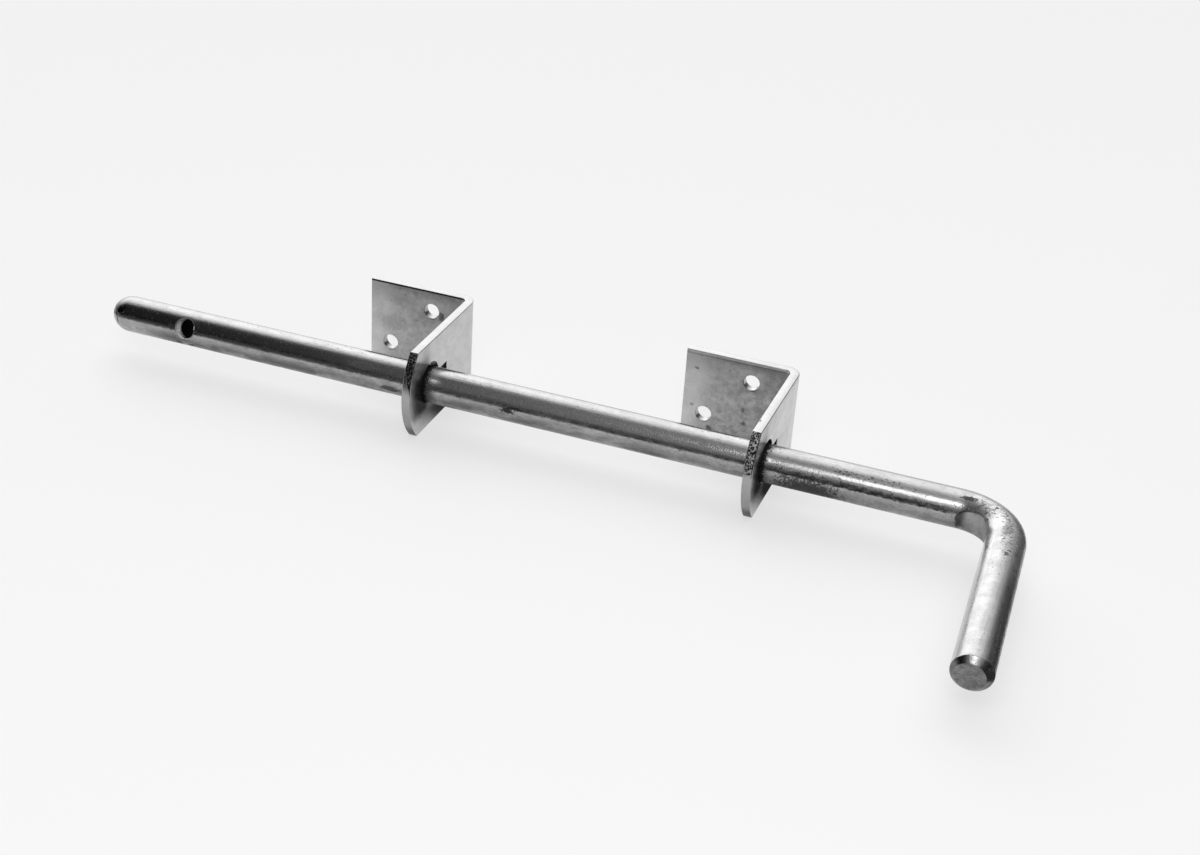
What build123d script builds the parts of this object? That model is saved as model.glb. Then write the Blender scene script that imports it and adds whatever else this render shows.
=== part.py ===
# Gate drop bolt: a round bar with a bent handle, sliding in two folded brackets.
# Origin: middle of the handle bracket's screw pair, on the gate's face.
# +X runs along the bar to the handle, +Y into the gate, +Z up. Millimetres.
from build123d import *
import os
from math import cos, radians, sin, sqrt, tan

# Round bar
bar_diameter = 16.0
bolt_reach = 404.6  # tip to the handle's centreline
handle_length = 110.7  # bar's centreline to the middle of the handle's end
bend_turn = 87.0  # degrees, a little under square where the bar sprang back
bend_radius = 22.0  # at the centreline
tip_crown_radius = 9.5
tip_crown_turn = 48.5  # degrees, from the bar's side to the flat on the tip

# The handle's end was cut a little out of square and chamfered off centre
handle_face_diameter = 11.8
handle_face_shift_back = 0.5  # towards the tip
handle_face_shift_down = 0.4
handle_slant_back = 5.0  # degrees
handle_slant_down = 8.0

# Mark that the bending pin pressed into the inside of the bend
bending_pin_radius = 11.0
bending_pin_bite = 1.6

# Cross hole for a padlock or a pin
cross_hole_diameter = 8.5
cross_hole_from_tip = 38.1
cross_hole_lift = 23.0  # degrees that its mouth looks up from level
cross_hole_edge_break = 0.4

# Bracket strip
strip_thickness = 4.0
strip_width = 39.5
plate_length = 50.5  # outer face of the leg to the plate's free edge
leg_corner_reach = 61.9  # gate's face to the leg's two corners
leg_end_bulge = 8.0  # how far the leg's rounded end stands past its corners
fold_radius = 2.5  # inside the fold
shear_roll = 0.35  # rounded edge on the side that the punch entered

# Screw holes in the plate
screw_hole_diameter = 7.0
screw_pitch_along = 20.0
screw_pitch_up = 19.8
screw_inset = 20.7  # outer face of the leg to the nearer hole

# Keyhole in the leg
bar_hole_slack = 2.0  # on the diameter
bar_seat_gap = 0.1  # left under the bar where it lies in its hole
bar_hole_from_gate = 49.5
bar_hole_rise = 0.6  # above the middle of the strip
key_slot_width = 4.5
key_slot_reach = 17.3  # bar hole's centre to the slot's end
key_slot_corner = 0.8

# Where the pieces stand
bracket_pitch = 150.0
handle_gap = 101.0  # handle bracket's leg to the handle's centreline

bar_radius = bar_diameter / 2
bar_hole_radius = (bar_diameter + bar_hole_slack) / 2
bar_drop = bar_hole_radius - bar_radius - bar_seat_gap
handle_leg_x = screw_inset + screw_pitch_along / 2
tip_leg_x = handle_leg_x - bracket_pitch

# The bar is laid out in a plane whose origin is where bar and handle centrelines cross
corner_origin = (handle_leg_x + handle_gap, -bar_hole_from_gate, bar_hole_rise - bar_drop)
bar_plane = Plane(origin=corner_origin, z_dir=(0, 0, 1))
half_turn = radians(bend_turn / 2)
bend_tangent_length = bend_radius * tan(half_turn)
end_waste = bar_radius / 2
crown_start = tip_crown_radius * sin(radians(tip_crown_turn)) - bolt_reach

# The bending pin's centre lies on the line that halves the bend
pin_centre_shift = bend_radius - bar_radius + bending_pin_bite - bending_pin_radius
pin_centre = (
    -bend_tangent_length + pin_centre_shift * sin(half_turn),
    -bend_radius + pin_centre_shift * cos(half_turn),
)

os.makedirs("parts", exist_ok=True)

with BuildPart() as drop_bolt:
    with BuildLine(bar_plane) as bar_route:
        shank = Line((crown_start, 0), (-bend_tangent_length, 0))
        bend = JernArc(shank @ 1, shank % 1, bend_radius, -bend_turn)
        handle = Line(bend @ 1, bend @ 1 + (bend % 1) * (handle_length + end_waste - bend_tangent_length))
    bar_wire = bar_route.wires()[0]
    with BuildSketch(Plane(origin=bar_wire @ 0, z_dir=bar_wire % 0)):
        Circle(bar_radius)
    sweep(path=bar_wire)

    # The tip is crowned, with a flat left in its middle
    with BuildSketch(bar_plane):
        with BuildLine():
            crown = JernArc((crown_start, bar_radius), (-1, 0), tip_crown_radius, tip_crown_turn)
            Polyline(crown @ 1, (-bolt_reach, 0), (crown_start, 0), crown @ 0)
        make_face()
    revolve(axis=Axis(corner_origin, (1, 0, 0)))

    handle_way = bar_wire % 1
    end_plane = Plane(
        origin=bar_wire @ 1 - handle_way * end_waste,
        x_dir=(-handle_way.Y, handle_way.X, 0),
        z_dir=handle_way,
    ).rotated((handle_slant_down, -handle_slant_back, 0))
    face_middle = (
        end_plane.origin
        - end_plane.x_dir * handle_face_shift_back
        - end_plane.y_dir * handle_face_shift_down
    )
    with BuildSketch(Plane(origin=face_middle, x_dir=end_plane.x_dir, z_dir=-end_plane.y_dir)):
        with BuildLine():
            Polyline(
                (handle_face_diameter / 2, 0),
                (handle_face_diameter / 2 + bar_radius, -bar_radius),
                (handle_face_diameter / 2 + bar_radius, bar_diameter),
                (0, bar_diameter),
                (0, 0),
                close=True,
            )
        make_face()
    revolve(axis=Axis(face_middle, end_plane.z_dir), mode=Mode.SUBTRACT)

    # The bending pin left a flat band, curved round the pin
    with BuildSketch(bar_plane):
        with Locations(pin_centre):
            Circle(bending_pin_radius)
    extrude(amount=bar_diameter, both=True, mode=Mode.SUBTRACT)

    # Cross hole with its edges broken on both sides
    cross_hole_x = corner_origin[0] - bolt_reach + cross_hole_from_tip
    cross_hole_plane = Plane(
        origin=(cross_hole_x, corner_origin[1], corner_origin[2]),
        x_dir=(1, 0, 0),
        z_dir=(0, -cos(radians(cross_hole_lift)), sin(radians(cross_hole_lift))),
    )
    with BuildSketch(cross_hole_plane):
        Circle(cross_hole_diameter / 2)
    extrude(amount=bar_diameter, both=True, mode=Mode.SUBTRACT)
    cross_hole_rims = (
        drop_bolt.edges()
        .filter_by_position(Axis.X, cross_hole_x - cross_hole_diameter, cross_hole_x + cross_hole_diameter)
        .filter_by(GeomType.LINE, reverse=True)
    )
    chamfer(cross_hole_rims, cross_hole_edge_break)

drop_bolt.part.label = "drop_bolt"
export_step(drop_bolt.part, "parts/drop_bolt.step")

bracket_places = {"handle_bracket": handle_leg_x, "tip_bracket": tip_leg_x}

for bracket_name, leg_x in bracket_places.items():
    leg_plane = Plane.YZ.offset(leg_x)
    plate_plane = Plane.XZ.offset(strip_thickness)
    leg_reach = leg_corner_reach + leg_end_bulge

    with BuildPart() as bracket:
        # Folded strip, seen from above
        with BuildSketch(Plane.XY.offset(-strip_width / 2)) as fold_profile:
            with BuildLine():
                Polyline(
                    (leg_x, 0),
                    (leg_x - plate_length, 0),
                    (leg_x - plate_length, -strip_thickness),
                    (leg_x - strip_thickness, -strip_thickness),
                    (leg_x - strip_thickness, -leg_reach),
                    (leg_x, -leg_reach),
                    close=True,
                )
            make_face()
            fold_outside = fold_profile.vertices().sort_by_distance((leg_x, 0, 0))[0]
            fillet(fold_outside, fold_radius + strip_thickness)
            fold_inside = fold_profile.vertices().sort_by_distance(
                (leg_x - strip_thickness, -strip_thickness, 0)
            )[0]
            fillet(fold_inside, fold_radius)
        extrude(amount=strip_width)

        # The leg's end is a shallow arc between two crisp corners
        with BuildSketch(leg_plane):
            with BuildLine():
                Polyline(
                    (-leg_corner_reach, strip_width / 2),
                    (0, strip_width / 2),
                    (0, -strip_width / 2),
                    (-leg_corner_reach, -strip_width / 2),
                )
                ThreePointArc(
                    (-leg_corner_reach, -strip_width / 2),
                    (-leg_reach, 0),
                    (-leg_corner_reach, strip_width / 2),
                )
            make_face()
        extrude(amount=-plate_length, mode=Mode.INTERSECT)

        # Keyhole: the bar's round hole and a slot running from it towards the plate
        with BuildSketch(leg_plane):
            with Locations((-bar_hole_from_gate, bar_hole_rise)):
                Circle(bar_hole_radius)
            with Locations((key_slot_reach / 2 - bar_hole_from_gate, bar_hole_rise)):
                key_slot = Rectangle(key_slot_reach, key_slot_width)
            fillet(key_slot.vertices().sort_by(Axis.X)[-2:], key_slot_corner)
        extrude(amount=-strip_thickness, mode=Mode.SUBTRACT)

        # Two screw holes, set cornerwise
        with BuildSketch(plate_plane):
            with Locations(
                (leg_x - screw_inset, screw_pitch_up / 2),
                (leg_x - screw_inset - screw_pitch_along, -screw_pitch_up / 2),
            ):
                Circle(screw_hole_diameter / 2)
        extrude(amount=-strip_thickness, mode=Mode.SUBTRACT)

        # The side that the punch entered is the outside of the fold: its edges are rolled
        gate_face = bracket.faces().sort_by(Axis.Y)[-1]
        leg_face = bracket.faces().sort_by(Axis.X)[-1]
        fold_face = bracket.faces().filter_by(GeomType.CYLINDER).sort_by_distance((leg_x, 0, 0))[0]
        skin_rims = gate_face.edges() + leg_face.edges() + fold_face.edges().filter_by(GeomType.CIRCLE)
        fold_seams = fold_face.edges().filter_by(GeomType.LINE)
        rolled_edges = [e for e in skin_rims if not any(e.is_same(s) for s in fold_seams)]
        fillet(rolled_edges, shear_roll)

    bracket.part.label = bracket_name
    export_step(bracket.part, f"parts/{bracket_name}.step")
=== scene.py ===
from functools import partial
from math import acos, cos, pi, radians, sin, tan

import bmesh
import bpy
from mathutils import Matrix, Vector


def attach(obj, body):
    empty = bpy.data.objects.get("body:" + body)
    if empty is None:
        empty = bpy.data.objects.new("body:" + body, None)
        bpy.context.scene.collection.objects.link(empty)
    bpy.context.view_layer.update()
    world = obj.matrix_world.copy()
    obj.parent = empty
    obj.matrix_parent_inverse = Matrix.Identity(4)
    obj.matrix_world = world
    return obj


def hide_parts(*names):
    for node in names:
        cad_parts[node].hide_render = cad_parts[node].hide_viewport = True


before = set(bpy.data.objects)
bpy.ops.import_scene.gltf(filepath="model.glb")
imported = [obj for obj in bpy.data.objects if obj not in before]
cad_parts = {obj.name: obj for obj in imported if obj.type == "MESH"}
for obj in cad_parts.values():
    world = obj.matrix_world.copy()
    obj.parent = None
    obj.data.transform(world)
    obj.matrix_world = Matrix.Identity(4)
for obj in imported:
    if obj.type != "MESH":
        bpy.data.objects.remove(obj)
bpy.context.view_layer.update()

scene = bpy.context.scene


# Node helpers

# An input takes a plain value, a socket, or a node for its first output
def plug(tree, value, socket):
    if hasattr(value, "outputs"):
        value = value.outputs[0]
    if hasattr(value, "is_output"):
        tree.links.new(value, socket)
    else:
        socket.default_value = value


# Sets a node's properties and inputs. An input such as Fill Caps is written Fill_Caps
def addNode(tree, kind, **settings):
    node = tree.nodes.new(kind)
    for name, value in settings.items():
        if hasattr(node, name):
            setattr(node, name, value)
        else:
            plug(tree, value, node.inputs[name.replace("_", " ")])
    return node


def mathNode(tree, operation, *values, clamp=False):
    node = addNode(tree, "ShaderNodeMath", operation=operation, use_clamp=clamp)
    for socket, value in zip(node.inputs, values):
        plug(tree, value, socket)
    return node.outputs[0]


def vectorMath(tree, operation, *values, scale=None):
    node = addNode(tree, "ShaderNodeVectorMath", operation=operation)
    for socket, value in zip(node.inputs, values):
        plug(tree, value, socket)
    if scale is not None:
        plug(tree, scale, node.inputs["Scale"])
    return node.outputs["Value" if operation in ("LENGTH", "DOT_PRODUCT") else "Vector"]


def mapRange(tree, value, fromMin, fromMax, toMin, toMax, smooth=False):
    node = addNode(tree, "ShaderNodeMapRange", interpolation_type="SMOOTHSTEP" if smooth else "LINEAR")
    for socket, given in zip(node.inputs, (value, fromMin, fromMax, toMin, toMax)):
        plug(tree, given, socket)
    return node.outputs[0]


def mixColour(tree, factor, first, second):
    return addNode(tree, "ShaderNodeMix", data_type="RGBA", Factor=factor, A=first, B=second).outputs["Result"]


def noise(tree, vector, scale, detail=4.0, roughness=0.55, distortion=0.0):
    node = addNode(tree, "ShaderNodeTexNoise", Vector=vector, Scale=scale, Detail=detail,
                   Roughness=roughness, Distortion=distortion)
    return node.outputs["Fac"]


def grey(value):
    return (value, value, value, 1.0)


def splitVector(tree, vector):
    return addNode(tree, "ShaderNodeSeparateXYZ", Vector=vector).outputs


def combineVector(tree, x, y, z):
    return addNode(tree, "ShaderNodeCombineXYZ", X=x, Y=y, Z=z).outputs[0]


# The same helpers for one tree, under short names, for the long sums:
# step goes smoothly from 0 to 1, and tint mixes in a grey tone by its masks
def nodeTools(tree, wanted):
    def chain(operation):
        def run(total, *values):
            for value in values:
                total = mathNode(tree, operation, total, value)
            return total
        return run

    times = chain("MULTIPLY")
    tools = {
        "m": partial(mathNode, tree),
        "vec": partial(vectorMath, tree),
        "ramp": partial(mapRange, tree),
        "step": lambda value, low, high: mapRange(tree, value, low, high, 0.0, 1.0, True),
        "tint": lambda colour, tone, *masks: mixColour(tree, times(*masks), colour, grey(tone)),
        "plus": chain("ADD"),
        "minus": chain("SUBTRACT"),
        "times": times,
        "most": chain("MAXIMUM"),
    }
    return [tools[name] for name in wanted.split()]


def openGroup(name, inputs, outputs):
    group = bpy.data.node_groups.new(name, "ShaderNodeTree")
    for label, socketType, value in inputs:
        socket = group.interface.new_socket(name=label, in_out="INPUT", socket_type=socketType)
        if value is not None:
            socket.default_value = value
    for label, socketType in outputs:
        group.interface.new_socket(name=label, in_out="OUTPUT", socket_type=socketType)
    start = group.nodes.new("NodeGroupInput")
    end = group.nodes.new("NodeGroupOutput")
    return group, start.outputs, end.inputs


def placeGroup(tree, group, **values):
    return addNode(tree, "ShaderNodeGroup", node_tree=group, **values).outputs


# Camera, at the height and angle the photograph was taken from
cameraSizes = {
    "place": (0.19010, -0.73356, 0.39747),
    "right": (0.93425, 0.35143, 0.06057),
    "up": (-0.22032, 0.43525, 0.87293),
    "lens": 59.26,
    "sensor": 36.0,
}

right = Vector(cameraSizes["right"]).normalized()
back = right.cross(Vector(cameraSizes["up"])).normalized()
up = back.cross(right)
cameraData = bpy.data.cameras.new("studioCamera")
cameraData.lens = cameraSizes["lens"]
cameraData.sensor_width = cameraSizes["sensor"]
cameraData.sensor_fit = "HORIZONTAL"
cameraData.clip_start = 0.02
cameraData.clip_end = 60
camera = bpy.data.objects.new("studioCamera", cameraData)
scene.collection.objects.link(camera)
camera.matrix_world = Matrix.Translation(cameraSizes["place"]) @ Matrix((right, up, back)).transposed().to_4x4()
scene.camera = camera
scene.view_settings.view_transform = "Standard"
print("camera set")


# Floor and studio light
studioSizes = {
    "floorHeight": -0.01975,
    "floorHalf": 14.0,
    "floorTone": 0.92,
    "floorLift": 0.60,
    "skyLevel": 1.95,      # big soft light overhead and behind
    "keyLevel": 0.75,      # extra on the left behind the bolt
    "fillLevel": 0.72,     # dim front of the room, on the right
    "stripLevel": 4.0,     # narrow soft light above the camera
    "stripSize": (0.36, 0.28),
    "stripPlace": (0.10, -0.62, 0.66),
    "stripAim": (0.08, -0.05, 0.0),
    # Dark cards on the floor: two corners, height over it, tone
    "plainCards": {
        "frontCard": (((-1.6, -1.8), (1.6, -0.215)), 0.001, 0.03),
        "sideCard": (((0.158, -0.215), (1.6, 1.2)), 0.001, 0.03),
    },
    # Painted shadows of the brackets' legs on the floor
    "footShadowCards": {
        "handleFootShadow": (((0.0300, -0.062), (0.0480, -0.008)), 0.0005, 0.05),
        "tipFootShadow": (((-0.1200, -0.058), (-0.1030, -0.010)), 0.0005, 0.12),
    },
    "footShadowFade": 0.022,
}


def makeSheet(name, finish, corners, height, tone):
    (x0, y0), (x1, y1) = corners
    mesh = bpy.data.meshes.new(name)
    mesh.from_pydata([(x0, y0, height), (x1, y0, height), (x1, y1, height), (x0, y1, height)], [], [(0, 1, 2, 3)])
    sheet = bpy.data.objects.new(name, mesh)
    scene.collection.objects.link(sheet)
    material = bpy.data.materials.new(finish)
    material.use_nodes = True
    mesh.materials.append(material)
    shader = material.node_tree.nodes["Principled BSDF"]
    shader.inputs["Base Color"].default_value = grey(tone)
    shader.inputs["Roughness"].default_value = 0.9
    return sheet, material.node_tree, shader


def mixSurface(tree, mask, first, second):
    mix = addNode(tree, "ShaderNodeMixShader")
    for socket, value in zip(mix.inputs, (mask, first, second)):
        plug(tree, value, socket)
    plug(tree, mix, tree.nodes["Material Output"].inputs["Surface"])


def makeFloor(sizes):
    half = sizes["floorHalf"]
    corners = ((-half, -half), (half, half))
    floor, tree, shader = makeSheet("floor", "paleFloor", corners, sizes["floorHeight"], sizes["floorTone"])
    shader.inputs["Specular IOR Level"].default_value = 0.1
    # The floor shows a little paler than it is lit, with its shadow kept
    ray = addNode(tree, "ShaderNodeLightPath").outputs
    seen = mathNode(tree, "ADD", ray["Is Camera Ray"], ray["Is Glossy Ray"])
    seen = mathNode(tree, "ADD", seen, ray["Is Transmission Ray"], clamp=True)
    lift = mathNode(tree, "MULTIPLY", seen, sizes["floorLift"])
    mixSurface(tree, lift, shader, addNode(tree, "ShaderNodeEmission"))


# Cards that only the bolt's reflections show; the foot cards are painted shadows of the brackets on the floor
def makeDarkCard(name, corners, height, tone, fade=0.0):
    card, tree, shader = makeSheet(name, name, corners, height, tone)
    if fade:
        # Its front, back and right edges fade out
        step, times = nodeTools(tree, "step times")
        (x0, y0), (x1, y1) = corners
        x, y, z = splitVector(tree, addNode(tree, "ShaderNodeTexCoord").outputs["Object"])
        solid = times(step(y, y0, y0 + fade), step(x, x1, x1 - fade / 2), step(y, y1, y1 - fade))
        mixSurface(tree, solid, addNode(tree, "ShaderNodeBsdfTransparent"), shader)
    card.visible_camera = False
    card.visible_diffuse = False
    card.visible_shadow = False


def makeSky(sizes):
    world = bpy.data.worlds.new("softStudio")
    world.use_nodes = True
    tree = world.node_tree
    background = tree.nodes["Background"]
    vec, ramp, step, plus, minus, times = nodeTools(tree, "vec ramp step plus minus times")
    direction = vec("NORMALIZE", addNode(tree, "ShaderNodeTexCoord").outputs["Generated"])
    x, y, z = splitVector(tree, direction)
    # Overhead and behind, falling off to the right near the horizon
    behind = step(y, -0.15, 0.55)
    lean = minus(x, times(z, 0.6))
    fall = ramp(lean, -0.55, 0.45, 1.0, 0.04, True)
    low = ramp(z, 0.0, 0.55, 0.66, 1.0, True)
    sky = times(behind, fall, times(low, sizes["skyLevel"]))
    keyWay = vec("DOT_PRODUCT", direction, Vector((-0.42, 0.80, 0.36)).normalized())
    key = ramp(keyWay, 0.90, 0.995, 0.0, sizes["keyLevel"], True)
    # The front is dark on the left and dim on the right, and dark along the horizon
    across = ramp(x, -0.55, 0.05, 0.02, 1.0, True)
    across = times(across, ramp(x, 0.30, 0.65, 1.0, 0.04, True))
    rise = ramp(z, 0.0, 0.5, 0.06, 1.0, True)
    fill = times(across, rise, minus(1.0, behind), sizes["fillLevel"])
    background.inputs["Color"].default_value = grey(1.0)
    tree.links.new(plus(sky, key, fill), background.inputs["Strength"])
    scene.world = world


def makeStripLight(sizes):
    data = bpy.data.lights.new("frontStrip", "AREA")
    data.shape = "RECTANGLE"
    data.size, data.size_y = sizes["stripSize"]
    # An area light's radiance is its power over pi times its area
    data.energy = sizes["stripLevel"] * pi * data.size * data.size_y
    lamp = bpy.data.objects.new("frontStrip", data)
    lamp.location = sizes["stripPlace"]
    toObject = Vector(sizes["stripAim"]) - lamp.location
    lamp.rotation_euler = toObject.to_track_quat("-Z", "Y").to_euler()
    scene.collection.objects.link(lamp)


makeFloor(studioSizes)
for kind, fade in (("plainCards", 0.0), ("footShadowCards", studioSizes["footShadowFade"])):
    for name, (corners, lift, tone) in studioSizes[kind].items():
        makeDarkCard(name, corners, studioSizes["floorHeight"] + lift, tone, fade)
makeSky(studioSizes)
makeStripLight(studioSizes)
print("studio lit")


# Finishes: zinc on the bar and on the strip. Lengths are in metres
def makeZincClouds():
    group, given, out = openGroup(
        "zincClouds",
        [
            ("Vector", "NodeSocketVector", None),
            ("Cloud Scale", "NodeSocketFloat", 90.0),
            ("Grain Scale", "NodeSocketFloat", 900.0),
            ("Light", "NodeSocketColor", grey(0.5)),
            ("Dark", "NodeSocketColor", grey(0.3)),
            ("Grain Depth", "NodeSocketFloat", 0.3),
        ],
        [("Color", "NodeSocketColor"), ("Cloud", "NodeSocketFloat"), ("Grain", "NodeSocketFloat")],
    )
    ramp, step, minus, times = nodeTools(group, "ramp step minus times")
    cloud = step(noise(group, given["Vector"], given["Cloud Scale"], 5.0, 0.6, 0.4), 0.33, 0.67)
    grain = ramp(noise(group, given["Vector"], given["Grain Scale"], 3.0, 0.65), 0.3, 0.7, 0.0, 1.0)
    cloudPart = times(cloud, minus(1.0, given["Grain Depth"]))
    mixed = mathNode(group, "ADD", cloudPart, times(grain, given["Grain Depth"]), clamp=True)
    group.links.new(mixColour(group, mixed, given["Dark"], given["Light"]), out["Color"])
    group.links.new(cloud, out["Cloud"])
    group.links.new(grain, out["Grain"])
    return group


def makeDirtSpecks():
    group, given, out = openGroup(
        "dirtSpecks",
        [
            ("Vector", "NodeSocketVector", None),
            ("Scale", "NodeSocketFloat", 500.0),
            ("Size", "NodeSocketFloat", 0.25),
            ("Share", "NodeSocketFloat", 0.1),
            ("Patch Scale", "NodeSocketFloat", 60.0),
        ],
        [("Mask", "NodeSocketFloat")],
    )
    m, ramp, plus, times = nodeTools(group, "m ramp plus times")
    cells = addNode(group, "ShaderNodeTexVoronoi", feature="F1", Vector=given["Vector"], Scale=given["Scale"])
    pick = addNode(group, "ShaderNodeSeparateColor", Color=cells.outputs["Color"])
    patch = ramp(noise(group, given["Vector"], given["Patch Scale"], 2.0), 0.4, 0.7, 0.3, 2.2)
    chosen = m("LESS_THAN", pick.outputs[0], times(given["Share"], patch))
    reach = times(given["Size"], plus(pick.outputs[1], 0.35))
    dot = ramp(m("DIVIDE", cells.outputs["Distance"], reach), 0.6, 1.1, 1.0, 0.0, True)
    group.links.new(times(dot, chosen), out["Mask"])
    return group


def makeDrawLines():
    group, given, out = openGroup(
        "drawLines",
        [
            ("Vector", "NodeSocketVector", None),
            ("Scale", "NodeSocketFloat", 700.0),
            ("Stretch", "NodeSocketVector", (0.02, 1.0, 1.0)),
        ],
        [("Lines", "NodeSocketFloat")],
    )
    squeezed = vectorMath(group, "MULTIPLY", given["Vector"], given["Stretch"])
    fine = noise(group, squeezed, given["Scale"], 4.0, 0.7)
    group.links.new(mapRange(group, fine, 0.3, 0.7, 0.0, 1.0), out["Lines"])
    return group


def makeDirtSpot():
    group, given, out = openGroup(
        "dirtSpot",
        [
            ("Vector", "NodeSocketVector", None),
            ("Centre", "NodeSocketVector", (0.0, 0.0, 0.0)),
            ("Half Sizes", "NodeSocketVector", (1.0, 1.0, 1.0)),
            ("Ragged", "NodeSocketFloat", 1.0),
        ],
        [("Mask", "NodeSocketFloat")],
    )
    vec, ramp, plus, minus, times = nodeTools(group, "vec ramp plus minus times")
    away = vec("SUBTRACT", given["Vector"], given["Centre"])
    reach = vec("LENGTH", vec("DIVIDE", away, given["Half Sizes"]))
    crumbs = minus(noise(group, given["Vector"], 1000.0, 3.0, 0.65), 0.5)
    reach = plus(reach, times(crumbs, times(given["Ragged"], 2.4)))
    group.links.new(ramp(reach, 0.55, 1.0, 1.0, 0.0, True), out["Mask"])
    return group


zincClouds = makeZincClouds()
dirtSpecks = makeDirtSpecks()
drawLines = makeDrawLines()
dirtSpot = makeDirtSpot()


def startMaterial(name):
    material = bpy.data.materials.new(name)
    material.use_nodes = True
    tree = material.node_tree
    shader = tree.nodes["Principled BSDF"]
    place = addNode(tree, "ShaderNodeTexCoord").outputs["Object"]
    return material, tree, shader, place


def addBump(tree, shader, height, distance):
    bump = addNode(tree, "ShaderNodeBump", Strength=1.0, Distance=distance, Height=height)
    tree.links.new(bump.outputs["Normal"], shader.inputs["Normal"])


# Spots from a table, dirt and in places painted shade, each over the mask that is there already
def addSpots(tree, place, spots, mask):
    times, most = nodeTools(tree, "times most")
    for centre, halfSizes, strength in spots:
        spot = placeGroup(tree, dirtSpot, Vector=place, Centre=Vector(centre) / 1000,
                          Half_Sizes=Vector(halfSizes) / 1000)
        mask = most(mask, times(spot["Mask"], strength))
    return mask


barFinish = {
    "light": 0.47,
    "dark": 0.37,
    "streakTone": 0.30,
    "dirtTone": 0.012,
    "underShadeTone": 0.13,
    "handleTone": 0.15,
    "topShadeTone": 0.10,
    "frontBandTone": 0.06,
    "mottleTone": 0.12,
    "reflectionLineTone": 0.06,
    "legGrimeShadeTone": 0.005,
    "pressedTone": 0.30,
    "lineTone": 0.02,
    "holeShadeTone": 0.002,
    "rimLightShadeTones": (0.85, 0.16),
    # painted light tones on the handle's sides
    "sideLightTones": (0.70, 1.0, 0.90),      # handle's left side, the same near the bend, right side
    "sawnTone": 0.14,
    "chamferShadeTone": 0.08,
    "dirtShine": 0.06,
    "shankRough": (0.10, 0.19),
    "handleRough": (0.25, 0.34),
    "endRough": 0.42,
    "grain": 0.00002,
    "legPlaces": (0.0307, -0.1193),      # where the brackets' legs stand
    "crownSlant": (0.0, 0.482, 0.146),
    "rimLight": (0.50, 0.0, 0.87),
    # Dirt as it lies on the bar, with some painted shade: centre and half sizes in mm from the corner, strength
    "marks": [
        ((-212.0, -8.0, 0.4), (3.6, 3.0, 1.5), 1.0),
        ((-208.0, -7.7, 2.0), (4.0, 2.0, 0.9), 0.9),
        ((-17.1, -3.6, 7.3), (3.6, 1.6, 1.4), 0.9),
        ((-8.4, -12.9, 4.8), (1.8, 3.0, 1.2), 0.95),
        ((-12.3, -7.1, 6.3), (6.5, 5.0, 3.2), 0.30),
        # painted shade at the left end of the pin's hollow
        ((-19.9, -7.4, -3.0), (1.4, 3.0, 3.4), 0.85),
        ((-16.6, -7.2, -4.0), (4.5, 3.0, 3.6), 0.30),
        # a dark ragged patch under the bar right of the handle bracket, dirt and painted shade
        ((-81.0, -6.5, -3.4), (17.5, 5.0, 6.2), 0.85),
        ((-150.0, -6.6, -4.6), (14.0, 3.0, 1.6), 0.45),
        ((-265.9, -7.6, -2.6), (5.5, 3.0, 2.0), 0.75),
        ((1.0, -20.0, 8.0), (2.6, 9.0, 1.8), 0.35),
        ((3.4, -37.9, 7.9), (1.0, 1.2, 1.0), 0.6),
        ((-90.5, -8.0, 0.3), (3.0, 3.0, 0.9), 0.7),
        ((-369.9, -6.5, -4.8), (1.9, 2.0, 1.0), 0.9),
        ((-364.2, -6.3, -5.0), (1.9, 2.0, 0.9), 0.9),
        ((-126.6, -6.0, 5.2), (3.0, 2.0, 1.2), 0.45),
        ((-280.0, -6.2, 5.0), (7.0, 2.5, 1.5), 0.7),
    ],
    # Where the bend is thick with fine specks
    "speckled": [
        ((3.4, -27.0, 7.8), (4.6, 19.0, 3.2), 0.13),
        ((-11.0, -7.5, 6.4), (12.0, 6.0, 3.4), 0.13),
        ((1.0, -10.0, 6.4), (7.0, 8.0, 4.0), 0.13),
        ((-58.0, -4.6, 6.6), (26.0, 1.8, 1.4), 0.13),
    ],
}


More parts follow.
